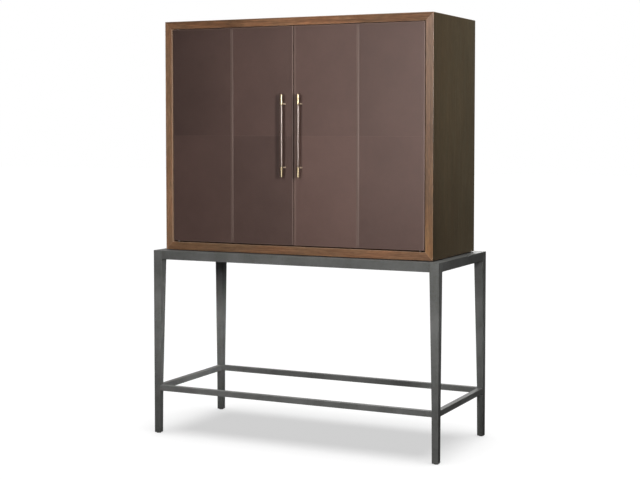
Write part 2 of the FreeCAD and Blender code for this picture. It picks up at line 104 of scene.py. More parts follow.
def mixColour(tree, factor, first, second, blend="MIX"):
    made = node(tree, "Mix", {mixSockets["factor"]: factor, mixSockets["first"]: first,
                              mixSockets["second"]: second}, data_type="RGBA", blend_type=blend)
    return made.outputs[mixSockets["mixed"]]


def tintedBy(tree, first, second):
    return mixColour(tree, 1.0, first, second, "MULTIPLY")


def spread(tree, value, low, high, newLow=0.0, newHigh=1.0, smooth=False):
    made = node(tree, "MapRange", {"Value": value, "From Min": low, "From Max": high,
                                   "To Min": newLow, "To Max": newHigh},
                interpolation_type="SMOOTHSTEP" if smooth else "LINEAR")
    return made.outputs["Result"]


def stretched(tree, vector, scale):
    made = node(tree, "Mapping", {"Vector": vector, "Scale": scale})
    return made.outputs["Vector"]


def clouds(tree, vector, scale, detail, rough, bend=0.0):
    made = node(tree, "TexNoise", {"Vector": vector, "Scale": scale, "Detail": detail,
                                   "Roughness": rough, "Distortion": bend})
    return made.outputs["Fac"]


def drawnOut(tree, vector, along, across, detail, rough):
    # clouds with their own number of repeats per metre along X and across it
    return clouds(tree, stretched(tree, vector, (along, across, across)), 1.0, detail, rough)


def swayed(tree, vector, repeats, reach):
    # a noise moves the pattern about by as much as the reach
    sway = node(tree, "TexNoise", {"Vector": stretched(tree, vector, repeats), "Scale": 1.0})
    return vectorMaths(tree, "MULTIPLY_ADD", sway.outputs["Color"], reach, vector)


def newGroup(name, takes, gives):
    tree = bpy.data.node_groups.new(name, "ShaderNodeTree")
    kinds = {"c": "NodeSocketColor", "f": "NodeSocketFloat", "v": "NodeSocketVector"}
    for label, kind in takes.items():
        tree.interface.new_socket(label, in_out="INPUT", socket_type=kinds[kind])
    for label, kind in gives.items():
        tree.interface.new_socket(label, in_out="OUTPUT", socket_type=kinds[kind])
    return tree, tree.nodes.new("NodeGroupInput").outputs, tree.nodes.new("NodeGroupOutput").inputs


def placed(tree, group, inputs):
    return node(tree, "Group", inputs, node_tree=group).outputs


# Effects that several finishes share
# a range turns a noise into a mask, or into values between its last two numbers

wearPattern = {
    "samples": 6,
    "turned": (0.995, 0.80),           # how far the rounded normal has turned at an edge
    "rubbed": {"scale": 28.0, "detail": 4.0, "rough": 0.65},
    "patchRange": (0.35, 0.68),
}


# pale edges, partly wear and partly a painted highlight where the edges catch the light
def edgeWearAndHighlightGroup():
    tree, takes, gives = newGroup("edgeWearAndHighlight", {"Vector": "v", "Reach": "f", "Patchy": "f"}, {"Mask": "f"})
    rounded = node(tree, "Bevel", {"Radius": takes["Reach"]}, samples=wearPattern["samples"])
    surface = node(tree, "NewGeometry")
    facing = vectorMaths(tree, "DOT_PRODUCT", rounded.outputs["Normal"], surface.outputs["Normal"])
    turned = spread(tree, facing, *wearPattern["turned"])
    rubbed = clouds(tree, takes["Vector"], **wearPattern["rubbed"])
    patches = spread(tree, rubbed, *wearPattern["patchRange"])
    even = maths(tree, "SUBTRACT", 1.0, takes["Patchy"])
    kept = maths(tree, "ADD", maths(tree, "MULTIPLY", patches, takes["Patchy"]), even)
    feed(tree, gives["Mask"], maths(tree, "MULTIPLY", turned, kept, clamp=True))
    return tree


woodPattern = {
    "sway": {"repeats": (1.6, 5.0, 5.0), "reach": (0.0, 0.016, 0.016)},
    "rings": {"along": 0.9, "across": 46.0, "detail": 3.0, "rough": 0.55},
    "lines": {"along": 5.0, "across": 330.0, "detail": 2.0, "rough": 0.6},
    "fibre": {"along": 26.0, "across": 1500.0, "detail": 2.0, "rough": 0.5},
    "pores": {"along": 60.0, "across": 1100.0, "detail": 1.0, "rough": 0.5},
    "flecks": {"along": 30.0, "across": 210.0, "detail": 2.0, "rough": 0.6},
    "drift": {"along": 2.2, "across": 7.0, "detail": 3.0, "rough": 0.6},
    "cast": {"along": 8.0, "across": 26.0, "detail": 2.0, "rough": 0.5},
    "bandWeights": (0.55, 0.45), "bandRange": (0.30, 0.70),
    "castRange": (0.36, 0.64), "cool": (0.95, 1.02, 1.05), "warm": (1.05, 0.98, 0.95),
    "driftLight": (0.3, 0.7, 0.80, 1.20), "fleckLight": (0.36, 0.64, 0.80, 1.20),
    "streakRange": (0.60, 0.40, 0.0, 0.42),
    "poreRange": (0.60, 0.72), "poreInk": 0.55,
    "fibreHeight": 0.35, "roughRange": (-0.6, 0.7, 0.72, 0.55),
}


def woodFigureGroup():
    # the grain runs along the pattern's X
    pattern = woodPattern
    tree, takes, gives = newGroup("woodFigure", {"Vector": "v", "Pale": "c", "Brown": "c", "Dark": "c"},
                                  {"Color": "c", "Height": "f", "Roughness": "f"})
    grain = swayed(tree, takes["Vector"], **pattern["sway"])
    rings, lines, fibre, pores, flecks = [drawnOut(tree, grain, **pattern[part])
                                          for part in ("rings", "lines", "fibre", "pores", "flecks")]
    drift, cast = [drawnOut(tree, takes["Vector"], **pattern[part]) for part in ("drift", "cast")]
    bands = weighed(tree, rings, lines, pattern["bandWeights"])
    body = mixColour(tree, spread(tree, bands, *pattern["bandRange"]), takes["Brown"], takes["Pale"])
    redder = mixColour(tree, spread(tree, cast, *pattern["castRange"]), colour(pattern["cool"]),
                       colour(pattern["warm"]))
    light = maths(tree, "MULTIPLY", spread(tree, drift, *pattern["driftLight"]),
                  spread(tree, flecks, *pattern["fleckLight"]))
    lit = node(tree, "VectorMath", {0: tintedBy(tree, body, redder), "Scale": light}, operation="SCALE")
    streak = spread(tree, lines, *pattern["streakRange"])
    streaked = mixColour(tree, streak, lit.outputs["Vector"], takes["Dark"])
    pits = spread(tree, pores, *pattern["poreRange"], smooth=True)
    ink = maths(tree, "MULTIPLY", pits, pattern["poreInk"])
    feed(tree, gives["Color"], mixColour(tree, ink, streaked, takes["Dark"]))
    raised = maths(tree, "MULTIPLY", fibre, pattern["fibreHeight"])
    feed(tree, gives["Height"], maths(tree, "SUBTRACT", raised, pits))
    polished = maths(tree, "SUBTRACT", fibre, pits)
    feed(tree, gives["Roughness"], spread(tree, polished, *pattern["roughRange"]))
    return tree


leatherPattern = {
    "cloudy": {"scale": 6.5, "detail": 3.0, "rough": 0.55, "bend": 0.3},
    "blotch": {"scale": 42.0, "detail": 4.0, "rough": 0.62},
    "folds": {"scale": 150.0, "detail": 3.0, "rough": 0.6},
    "sway": {"repeats": (420.0, 420.0, 420.0), "reach": (0.0011, 0.0011, 0.0011)},
    "bodyWeights": (0.6, 0.4), "bodyRange": (0.34, 0.66),
    "pebbleRange": (0.0, 0.26), "creaseRange": (0.0, 1.0, 0.30, 0.0), "foldHeight": 1.2,
    "polishWeights": (0.6, -0.25), "polishRange": (-0.1, 0.4), "roughness": (0.40, 0.58),
}


def leatherHideGroup():
    pattern = leatherPattern
    tree, takes, gives = newGroup("leatherHide", {"Vector": "v", "Hide": "c", "Deep": "c", "Pebble": "f"},
                                  {"Color": "c", "Height": "f", "Roughness": "f"})
    cloudy, blotch, folds = [clouds(tree, takes["Vector"], **pattern[part])
                             for part in ("cloudy", "blotch", "folds")]
    bent = swayed(tree, takes["Vector"], **pattern["sway"])
    cells = node(tree, "TexVoronoi", {"Vector": bent, "Scale": takes["Pebble"]}, feature="DISTANCE_TO_EDGE")
    pebble = spread(tree, cells.outputs["Distance"], *pattern["pebbleRange"], smooth=True)
    shade = weighed(tree, cloudy, blotch, pattern["bodyWeights"])
    body = mixColour(tree, spread(tree, shade, *pattern["bodyRange"]), takes["Deep"], takes["Hide"])
    crease = spread(tree, pebble, *pattern["creaseRange"])
    feed(tree, gives["Color"], mixColour(tree, crease, body, takes["Deep"]))
    raised = maths(tree, "MULTIPLY", folds, pattern["foldHeight"])
    feed(tree, gives["Height"], maths(tree, "ADD", pebble, raised))
    polish = weighed(tree, blotch, pebble, pattern["polishWeights"])
    feed(tree, gives["Roughness"], spread(tree, polish, *pattern["polishRange"], *pattern["roughness"]))
    return tree


patinaPattern = {
    "broad": {"scale": 8.0, "detail": 5.0, "rough": 0.6, "bend": 0.4},
    "fine": {"scale": 95.0, "detail": 4.0, "rough": 0.65},
    "specks": {"scale": 620.0, "detail": 2.0, "rough": 0.5},
    "toneRange": (0.36, 0.64),
    "fineStain": (0.48, 0.70), "broadStain": (0.62, 0.40), "stainDepth": 0.7,
    "pitWeights": (0.7, 0.3),
    "wearWeights": (0.5, 0.5), "wearRange": (0.32, 0.68),
}


def metalPatinaGroup():
    pattern = patinaPattern
    tree, takes, gives = newGroup("metalPatina", {"Vector": "v", "Bright": "c", "Dull": "c", "Tarnish": "c",
                                                  "Low Roughness": "f", "High Roughness": "f"},
                                  {"Color": "c", "Height": "f", "Roughness": "f"})
    broad, fine, specks = [clouds(tree, takes["Vector"], **pattern[part])
                           for part in ("broad", "fine", "specks")]
    body = mixColour(tree, spread(tree, broad, *pattern["toneRange"]), takes["Dull"], takes["Bright"])
    stain = maths(tree, "MULTIPLY", spread(tree, fine, *pattern["fineStain"]),
                  spread(tree, broad, *pattern["broadStain"]))
    stained = maths(tree, "MULTIPLY", stain, pattern["stainDepth"])
    feed(tree, gives["Color"], mixColour(tree, stained, body, takes["Tarnish"]))
    feed(tree, gives["Height"], weighed(tree, fine, specks, pattern["pitWeights"]))
    wear = spread(tree, weighed(tree, broad, fine, pattern["wearWeights"]), *pattern["wearRange"])
    wide = maths(tree, "SUBTRACT", takes["High Roughness"], takes["Low Roughness"])
    rough = maths(tree, "ADD", maths(tree, "MULTIPLY", wear, wide), takes["Low Roughness"])
    feed(tree, gives["Roughness"], rough)
    return tree


edgeWearAndHighlight = edgeWearAndHighlightGroup()
woodFigure = woodFigureGroup()
leatherHide = leatherHideGroup()
metalPatina = metalPatinaGroup()
print("shared effects built")


# Finishes

def newFinish(name, look):
    material = bpy.data.materials.new(name)
    tree = emptied(material)
    shader = node(tree, "BsdfPrincipled", look)
    node(tree, "OutputMaterial", {"Surface": shader.outputs["BSDF"]})
    place = node(tree, "TexCoord").outputs["Object"]
    return material, tree, shader, place


def bumped(tree, shader, height, depth):
    made = node(tree, "Bump", {"Height": height, "Distance": depth})
    feed(tree, shader.inputs["Normal"], made.outputs["Normal"])


def turnedTo(tree, place, turn, shift):
    made = node(tree, "Mapping", {"Vector": place, "Rotation": turn, "Location": shift})
    return made.outputs["Vector"]


# the pale edges are wear and a painted highlight
def wornAndHighlitEdges(tree, place, reach, patchy, lift):
    worn = placed(tree, edgeWearAndHighlight, {"Vector": place, "Reach": reach, "Patchy": patchy})
    return maths(tree, "MULTIPLY", worn["Mask"], lift)


def facesTowards(tree, direction):
    normal = node(tree, "NewGeometry").outputs["Normal"]
    return vectorMaths(tree, "DOT_PRODUCT", normal, direction)


def toneAlong(tree, place, axis, span, tint, tones, farTint=None):
    # a colour that drifts along the piece
    split = node(tree, "SeparateXYZ", {"Vector": place})
    ramp = node(tree, "ValToRGB", {"Fac": spread(tree, split.outputs[axis], *span)})
    stops = ramp.color_ramp.elements
    for count in range(1, len(tones) - 1):
        stops.new(count / (len(tones) - 1))
    ends = Vector(tint), Vector(farTint or tint)
    for stop, tone in zip(stops, tones):
        stop.color = colour(ends[0].lerp(ends[1], stop.position) * tone)
    return ramp.outputs["Color"]


grainTurn = {"X": (0, 0, 0), "Y": (0, 0, -math.pi / 2), "Z": (0, math.pi / 2, 0)}
caseFront, caseBack = [corner.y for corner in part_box("case_side_right")]

woodFinish = {
    "look": {"Specular IOR Level": 0.12, "Coat Roughness": 0.33},
    "poreDepth": 0.00012,
    # pale edges: wear and a painted highlight along the arrises
    "edges": {"reach": 0.0030, "patchy": 0.5, "lift": 0.60},
    "facing": (0.5, 0.9),              # how squarely a face looks one way, from too little to enough
    "lippingDepths": (0.015, 0.009),   # behind the front edge, where the lipping ends and is whole
    "lippingLift": 0.9,
}
# the outer faces of the case, where the figure is calmer than in solid wood; the veneer grows lighter along
# each board, painted light that is brighter towards the top and the right
caseVeneer = {"tint": (1.0, 1.36, 1.39), "tones": (0.50, 0.63, 0.82), "calm": 0.55,
              "ground": (0.188, 0.106, 0.061)}


def boardColour(tree, place, grain, board, figure, veneered):
    # solid lipping on the front edge, veneer on the outer face
    solid = toneAlong(tree, place, grain, board["span"], board["tint"], board["tones"],
                      board.get("farTint"))
    sliced = toneAlong(tree, place, grain, board["span"], caseVeneer["tint"], caseVeneer["tones"])
    if "depth" in board:
        sliced = tintedBy(tree, sliced, toneAlong(tree, place, "Y", **board["depth"]))
    calm = maths(tree, "MULTIPLY", veneered, caseVeneer["calm"])
    calmed = mixColour(tree, calm, figure, colour(caseVeneer["ground"]))
    return tintedBy(tree, calmed, mixColour(tree, veneered, solid, sliced))


def paintedLightOnLipping(tree, place, facing):
    # painted light: the inner side of the lipping, near the front, is paler
    slightly, squarely = woodFinish["facing"]
    inward = spread(tree, facing, -slightly, -squarely, 0.0, woodFinish["lippingLift"])
    across = node(tree, "SeparateXYZ", {"Vector": place}).outputs["Y"]
    ends = [caseFront + depth for depth in woodFinish["lippingDepths"]]
    return maths(tree, "MULTIPLY", inward, spread(tree, across, *ends))


def wood(name, grain, shift, pale, brown, dark, edge, board=None, stain=None):
    material, tree, shader, place = newFinish(name, woodFinish["look"])
    along = turnedTo(tree, place, grainTurn[grain], shift)
    figure = placed(tree, woodFigure, {"Vector": along, "Pale": colour(pale), "Brown": colour(brown),
                                       "Dark": colour(dark)})
    shown = figure["Color"]
    lifted = wornAndHighlitEdges(tree, place, **woodFinish["edges"])
    if board:
        facing = facesTowards(tree, board["outer"])
        veneered = spread(tree, facing, *woodFinish["facing"])
        shown = boardColour(tree, place, grain, board, shown, veneered)
        lifted = maths(tree, "MAXIMUM", lifted, paintedLightOnLipping(tree, place, facing))
        feed(tree, shader.inputs["Coat Weight"], spread(tree, veneered, 0.0, 1.0, board["lacquer"], 0.0))
    if stain:
        # the narrow edges of a door core are stained dark, which is also painted shade in the gaps around
        # the doors
        frontOrBack = maths(tree, "ABSOLUTE", facesTowards(tree, (0, 1, 0)))
        broad = spread(tree, frontOrBack, *woodFinish["facing"])
        shown = tintedBy(tree, shown, mixColour(tree, broad, colour(stain), colour(plainWhite)))
    feed(tree, shader.inputs["Base Color"], mixColour(tree, lifted, shown, colour(edge)))
    feed(tree, shader.inputs["Roughness"], figure["Roughness"])
    bumped(tree, shader, figure["Height"], woodFinish["poreDepth"])
    return material


rimLayer = "doorEdge"
leatherFinish = {
    "look": {"Specular IOR Level": 0.55, "Specular Tint": (1.0, 0.88, 0.82, 1.0), "Sheen Weight": 0.04,
             "Sheen Roughness": 0.4, "Sheen Tint": (0.9, 0.75, 0.68, 1.0)},
    "pebblesPerMetre": 760.0,
    "grainDepth": 0.00010,
    # pale edges: wear and a painted highlight
    "edges": {"reach": 0.0030, "patchy": 0.4, "lift": 0.35},
    "rimHighlight": 0.9,                    # painted highlight: paler leather along the door's edges and where the doors meet
}


def leather(name, hide, deep, edge, shift, span, tones):
    material, tree, shader, place = newFinish(name, leatherFinish["look"])
    moved = turnedTo(tree, place, (0, 0, 0), shift)
    skin = placed(tree, leatherHide, {"Vector": moved, "Hide": colour(hide), "Deep": colour(deep),
                                      "Pebble": leatherFinish["pebblesPerMetre"]})
    # wear and painted highlight on the edges, and the painted highlight of the rim
    rim = node(tree, "Attribute", attribute_name=rimLayer).outputs["Fac"]
    lifted = maths(tree, "MAXIMUM", wornAndHighlitEdges(tree, place, **leatherFinish["edges"]),
                   maths(tree, "MULTIPLY", rim, leatherFinish["rimHighlight"]))
    shown = tintedBy(tree, skin["Color"], toneAlong(tree, place, "X", span, plainWhite, tones))
    feed(tree, shader.inputs["Base Color"], mixColour(tree, lifted, shown, colour(edge)))
    feed(tree, shader.inputs["Roughness"], skin["Roughness"])
    bumped(tree, shader, skin["Height"], leatherFinish["grainDepth"])
    return material


# pale steel edges: wear and a painted highlight
steelEdges = {"reach": 0.0015, "patchy": 0.7, "lift": 0.5}


def hardFinish(name, look, bright, dull, tarnish, roughness, depth, edge=None):
    # metal or plastic with a mottled surface
    material, tree, shader, place = newFinish(name, look)
    patina = placed(tree, metalPatina, {"Vector": place, "Bright": colour(bright), "Dull": colour(dull),
                                        "Tarnish": colour(tarnish), "Low Roughness": roughness[0],
                                        "High Roughness": roughness[1]})
    shown = patina["Color"]
    if edge:
        shown = mixColour(tree, wornAndHighlitEdges(tree, place, **steelEdges), shown, colour(edge))
    feed(tree, shader.inputs["Base Color"], shown)
    feed(tree, shader.inputs["Roughness"], patina["Roughness"])
    bumped(tree, shader, patina["Height"], depth)
    return material


def paint(names, material):
    for name in names:
        slots = nodes[name].data.materials
        slots.clear()
        slots.append(material)


# tones follow one another along the span of a board; outer is the way that its veneered face looks; the
# tints and tones hold painted light and shade as well as the wood's own colour
caseBoards = {
    "case_top": {"grain": "X", "shift": (0.31, 0.12, 0.05), "outer": (0, 0, 1), "span": (-0.6, 0.6),
                 "tint": (1.05, 0.93, 0.82), "tones": (0.93, 0.58, 1.0, 0.68, 0.64), "lacquer": 0.15},
    "case_bottom": {"grain": "X", "shift": (1.73, 0.41, 0.27), "outer": (0, 0, -1), "span": (-0.6, 0.6),
                    "tint": (1.03, 1.0, 0.92), "farTint": (1.05, 0.92, 0.84),
                    "tones": (0.93, 0.73, 0.70, 0.84, 0.75), "lacquer": 0.15},
    "case_side_left": {"grain": "Z", "shift": (0.77, 1.13, 0.62), "outer": (-1, 0, 0), "span": (0.78, 1.73),
                       "tint": (1.02, 1.01, 0.98), "tones": (1.03, 1.27, 1.02, 1.04, 0.92), "lacquer": 0.4},
    "case_side_right": {"grain": "Z", "shift": (2.21, 0.66, 1.48), "outer": (1, 0, 0), "span": (0.78, 1.73),
                        "tint": (1.0, 0.88, 0.56), "farTint": (1.0, 1.03, 1.12),
                        "tones": (1.12, 0.65, 0.48, 0.70, 0.89), "lacquer": 1.0,
                        # painted shade: the right side's veneer is darker towards the front and lighter
                        # towards the back
                        "depth": {"span": (caseFront, caseBack), "tint": (1.0, 0.95, 0.90),
                                  "farTint": (1.0, 1.02, 1.04), "tones": (0.58, 0.84, 1.05, 1.20)}},
}
caseColours = {"pale": (0.262, 0.150, 0.088), "brown": (0.178, 0.097, 0.055), "dark": (0.078, 0.041, 0.023),
               "edge": (0.36, 0.235, 0.155)}


def paintCase():
    for name, board in caseBoards.items():
        paint([name], wood("caseWood_" + name, board["grain"], board["shift"], **caseColours, board=board))


insideBoards = {
    "X": {"shift": (0.4, 0.9, 0.0),
          "names": ["bar_shelf", "shelf_upper", "shelf_lower", "bottle_rack_board"]},
    "Y": {"shift": (1.4, 0.9, 0.3), "names": ["stemware_strips", "bottle_rack_uprights"]},
    "Z": {"shift": (2.4, 0.9, 0.6), "names": ["back_panel", "divider_upper", "divider_lower"]},
}
insideColours = {"pale": (0.24, 0.145, 0.085), "brown": (0.155, 0.090, 0.052), "dark": (0.065, 0.036, 0.020),
                 "edge": (0.30, 0.20, 0.13)}
doorCores = {"grain": "Z", "shift": (1.9, 0.4, 0.7), "stain": (0.42, 0.40, 0.38)}
deckPly = {"grain": "X", "shift": (0.2, 0.6, 0.9), "pale": (0.040, 0.036, 0.032),
           "brown": (0.024, 0.021, 0.019), "dark": (0.010, 0.009, 0.008), "edge": (0.06, 0.052, 0.045)}


def paintInside():
    for grain, boards in insideBoards.items():
        paint(boards["names"], wood("insideWood" + grain, grain, boards["shift"], **insideColours))
    paint([f"door_{side}_core" for side in bothSides], wood("coreWood", **doorCores, **insideColours))
    paint(["deck_panel"], wood("blackPly", **deckPly))


steelBase = {
    "pieces": {"legs": [f"leg_{end}_{side}" for end in ("front", "back") for side in bothSides],
               "aprons": ["cross_bars"] + [f"apron_{side}" for side in baseSides],
               "stretchers": [f"stretcher_{side}" for side in baseSides]},
    # painted light and shade: the aprons are a darker and the stretchers a lighter copy of the same steel
    "tones": {"legs": 0.97, "aprons": 0.81, "stretchers": 1.17},
    "shades": {"bright": (0.130, 0.130, 0.126), "dull": (0.098, 0.100, 0.096),
               "tarnish": (0.082, 0.078, 0.067), "edge": (0.20, 0.195, 0.18)},
    "finish": {"look": {"Specular IOR Level": 0.03}, "roughness": (0.42, 0.58), "depth": 0.00008},
}


def paintSteel():
    for part, pieces in steelBase["pieces"].items():
        shades = {shade: toned(rgb, steelBase["tones"][part]) for shade, rgb in steelBase["shades"].items()}
        paint(pieces, hardFinish(f"blackenedSteel_{part}", **shades, **steelBase["finish"]))


fittings = {
    "polishedBrass": {
        "pieces": [f"door_{side}_handle_end_{end}" for side in bothSides for end in ("lower", "upper")],
        "finish": {"look": {"Metallic": 1.0}, "bright": (0.30, 0.242, 0.155), "dull": (0.27, 0.213, 0.133),
                   "tarnish": (0.22, 0.168, 0.093), "roughness": (0.28, 0.34), "depth": 0.000001}},
    # painted reflection: the posts are paler and less metallic than the other brass
    "paleBrass": {
        "pieces": [f"door_{side}_handle_posts" for side in bothSides],
        "finish": {"look": {"Metallic": 0.3}, "bright": (0.62, 0.51, 0.36), "dull": (0.56, 0.45, 0.31),
                   "tarnish": (0.48, 0.37, 0.23), "roughness": (0.34, 0.42), "depth": 0.000001}},
    "satinBrass": {
        "pieces": ["shelf_pins", "stemware_plates"],
        "finish": {"look": {"Metallic": 1.0}, "bright": (0.42, 0.33, 0.19), "dull": (0.37, 0.28, 0.155),
                   "tarnish": (0.29, 0.21, 0.11), "roughness": (0.40, 0.50), "depth": 0.000004}},
    "blackZinc": {
        "pieces": ["case_bolts", "socket_plates"] + [f"door_{side}_{part}" for side in bothSides
                                                     for part in ("handle_screws", "pivots", "strike")],
        "finish": {"look": {"Metallic": 0.9}, "bright": (0.075, 0.075, 0.077), "dull": (0.058, 0.058, 0.060),
                   "tarnish": (0.046, 0.045, 0.044), "roughness": (0.38, 0.52), "depth": 0.000004}},
    "blackNylon": {
        "pieces": ["glides"],
        "finish": {"look": {"Specular IOR Level": 0.4}, "bright": (0.030, 0.030, 0.030),
                   "dull": (0.022, 0.022, 0.022), "tarnish": (0.016, 0.016, 0.016),
                   "roughness": (0.45, 0.60), "depth": 0.00004}},
    "blackRubber": {
        "pieces": ["case_spacers"],
        "finish": {"look": {"Specular IOR Level": 0.4}, "bright": (0.026, 0.026, 0.026),
                   "dull": (0.018, 0.018, 0.018), "tarnish": (0.012, 0.012, 0.012),
                   "roughness": (0.65, 0.85), "depth": 0.00006}},
    "brownPlastic": {
        "pieces": ["door_catches"],
        "finish": {"look": {"Specular IOR Level": 0.4}, "bright": (0.060, 0.040, 0.028),
                   "dull": (0.046, 0.030, 0.021), "tarnish": (0.034, 0.022, 0.015),
                   "roughness": (0.40, 0.55), "depth": 0.00004}},
}


def paintFittings():
    for name, fitting in fittings.items():
        paint(fitting["pieces"], hardFinish(name, **fitting["finish"]))


paintCase()
paintInside()
paintSteel()
paintFittings()
print("finishes on the CAD pieces:", len(bpy.data.materials))


# Leather on the doors

def slab(low, high):
    bm = bmesh.new()
    bmesh.ops.create_cube(bm, size=1)
    bmesh.ops.scale(bm, vec=high - low, verts=bm.verts)
    bmesh.ops.translate(bm, vec=(low + high) / 2, verts=bm.verts)
    return bm


def rolledSlab(low, high, sheet):
    bm = slab(low, high)
    front = [e for e in bm.edges if all(abs(v.co.y - low.y) < touching for v in e.verts)]
    bmesh.ops.bevel(bm, geom=front, offset=sheet["roll"], offset_type="OFFSET", segments=sheet["rollSteps"],
                    profile=0.5, affect="EDGES", material=-1, clamp_overlap=True)
    return bm


def cutAt(bm, axis, place):
    normal = Vector([float(i == axis) for i in range(3)])
    whole = bm.verts[:] + bm.edges[:] + bm.faces[:]
    bmesh.ops.bisect_plane(bm, geom=whole, plane_co=normal * place, plane_no=normal)


def sliceAcross(bm, axis, low, high, step):
    count = max(1, round((high - low) / step))
    for i in range(1, count):
        cutAt(bm, axis, low + (high - low) * i / count)


def crownFront(bm, low, high, sheet, seed):
    middle, half = (low + high) / 2, (high - low) / 2
    size = sheet["rippleSize"]
    for v in bm.verts:
        if v.co.y > high.y - touching:
            continue
        across, up = (v.co.x - middle.x) / half.x, (v.co.z - middle.z) / half.z
        fall = 1 - (1 - across ** 2) * (1 - up ** 2)
        wave = noise.noise(Vector((v.co.x / size, v.co.z / size, seed)))
        inside = 1 - max(abs(across), abs(up)) ** sheet["rippleFade"]
        v.co.y += sheet["crown"] * fall + sheet["ripple"] * (1 + wave) * inside


def finished(bm, name, material, body, sharp=40):
    mesh = bpy.data.meshes.new(name)
    bmesh.ops.recalc_face_normals(bm, faces=bm.faces)
    bm.to_mesh(mesh)
    bm.free()
    mesh.shade_smooth()
    mesh.set_sharp_from_angle(angle=math.radians(sharp))
    mesh.materials.append(material)
    piece = bpy.data.objects.new(name, mesh)
    scene.collection.objects.link(piece)
    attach(piece, body)
    return piece


leatherTile = {
    "roll": 0.0003,                    # radius of the edge that is turned under
    "rollSteps": 3,
    "seamReach": 0.0003,               # the rows butt against each other
    "meshStep": 0.012,
    "edgeStep": 0.0007,                # one more cut this close to each edge
    "crown": 0.00020,                  # how much lower the edges lie than the middle
    "ripple": 0.00012,                 # unevenness of the stretched hide
    "rippleSize": 0.12,
    "rippleFade": 6,
    "edgeDrop": 0.0007,                # softer rounding along the edges of the door
    "edgeCuts": (0.0012, 0.0022, 0.0035, 0.0050, 0.0080),
    "softened": 0.0050,
    "turnIn": 0.012,                   # how deep a turn-in behind each edge would reach
    "hide": (0.083, 0.047, 0.039), "deep": (0.065, 0.036, 0.030), "edge": (0.150, 0.098, 0.082),
    "edgeTone": (0.35, 0.3),           # its own part, and the part that follows the tile's tones
    "shift": (0.7, 0.0, 0.37),         # moves the pattern on from one tile to the next
    # tones at the left and the right of each tile, which hold painted light and shade as well as the hide's
    # own tone
    "tones": {"left_upper_outer": (0.61, 0.83), "left_upper_inner": (0.93, 0.90),
              "left_lower_outer": (0.85, 0.82), "left_lower_inner": (0.75, 0.77),
              "right_upper_inner": (1.01, 1.04), "right_upper_outer": (0.82, 0.95),
              "right_lower_inner": (1.13, 1.15), "right_lower_outer": (0.90, 0.96)},
    # the paler line along the edges of a door, and where the doors meet, is a painted highlight
    "rim": {"paler": 0.6, "width": 0.0045, "start": 0.0},
    "meeting": {"left": {"paler": 1.1, "width": 0.0045, "start": 0.0004},
                "right": {"paler": 0.75, "width": 0.0120, "start": 0.0020}},
    "rimFade": 1.6,
}


def softenEdge(bm, axis, edge, inwards, back, paler, width, start):
    for cut in leatherTile["edgeCuts"]:
        cutAt(bm, axis, edge + inwards * cut)
    # the paler rim is a painted highlight
    rim = bm.verts.layers.float[rimLayer]
    reach = leatherTile["softened"]
    for v in bm.verts:
        if v.co.y >= back - touching:
            continue
        away = abs(v.co[axis] - edge)
        if away >= start:
            v[rim] = max(v[rim], paler * min(1.0, max(0.0, leatherTile["rimFade"] * (1 - away / width))))
        if away < reach:
            v.co.y += leatherTile["edgeDrop"] * (1 - away / reach) ** 2


def addTile(side, row, column, seed):
    cad = f"door_{side}_tile_{row}_{column}"
    low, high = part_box(cad)
    if row == "lower":
        high.z += leatherTile["seamReach"]
    else:
        low.z -= leatherTile["seamReach"]
    bm = rolledSlab(low, high, leatherTile)
    for axis in (0, 2):
        sliceAcross(bm, axis, low[axis], high[axis], leatherTile["meshStep"])
        for place in (low[axis] + leatherTile["edgeStep"], high[axis] - leatherTile["edgeStep"]):
            cutAt(bm, axis, place)
    crownFront(bm, low, high, leatherTile, seed)
    bm.verts.layers.float.new(rimLayer)
    atLeft = (side == "left") == (column == "outer")
    upright = leatherTile["meeting"][side] if column == "inner" else leatherTile["rim"]
    softenEdge(bm, 0, low.x if atLeft else high.x, 1 if atLeft else -1, high.y, **upright)
    softenEdge(bm, 2, low.z if row == "lower" else high.z, 1 if row == "lower" else -1, high.y,
               **leatherTile["rim"])
    tones = leatherTile["tones"][f"{side}_{row}_{column}"]
    own, following = leatherTile["edgeTone"]
    hide = leather(f"doorLeather_{side}_{row}_{column}", leatherTile["hide"], leatherTile["deep"],
                   toned(leatherTile["edge"], own + following * sum(tones)),
                   toned(leatherTile["shift"], seed), (low.x, high.x), tones)
    piece = finished(bm, f"door_{side}_leather_{row}_{column}", hide, f"door_{side}")
    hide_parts(cad)


leatherStrip = {
    "roll": 0.0003, "rollSteps": 3, "acrossStep": 0.0015, "meshStep": 0.02, "turnIn": 0.003,
    "crown": 0.0008, "ripple": 0.00005, "rippleSize": 0.05, "rippleFade": 6,
    "hide": (0.110, 0.072, 0.061), "deep": (0.090, 0.058, 0.048), "edge": (0.155, 0.108, 0.093),
    "tones": {"left": 0.98, "right": 1.0}, "shift": (0.2, 0.1, 0.5),
}


def addStrip(side, seed):
    cad = f"door_{side}_strip"
    low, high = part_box(cad)
    bm = rolledSlab(low, high, leatherStrip)
    sliceAcross(bm, 0, low.x, high.x, leatherStrip["acrossStep"])
    sliceAcross(bm, 2, low.z, high.z, leatherStrip["meshStep"])
    crownFront(bm, low, high, leatherStrip, seed)
    tone = leatherStrip["tones"][side]
    shiftX, shiftY, shiftZ = leatherStrip["shift"]
    hide = leather(f"stripLeather_{side}", leatherStrip["hide"], leatherStrip["deep"],
                   toned(leatherStrip["edge"], tone), (shiftX * seed, shiftY, shiftZ), (low.x, high.x),
                   (tone, tone))
    piece = finished(bm, f"door_{side}_leather_strip", hide, f"door_{side}")
    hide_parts(cad)


seed = 0
for side in bothSides:
    for row in ("lower", "upper"):
        for column in ("outer", "inner"):
            seed += 1
            addTile(side, row, column, seed)
    seed += 1
    addStrip(side, seed)
print("leather tiles and strips:", seed)


# Leather grips of the pulls

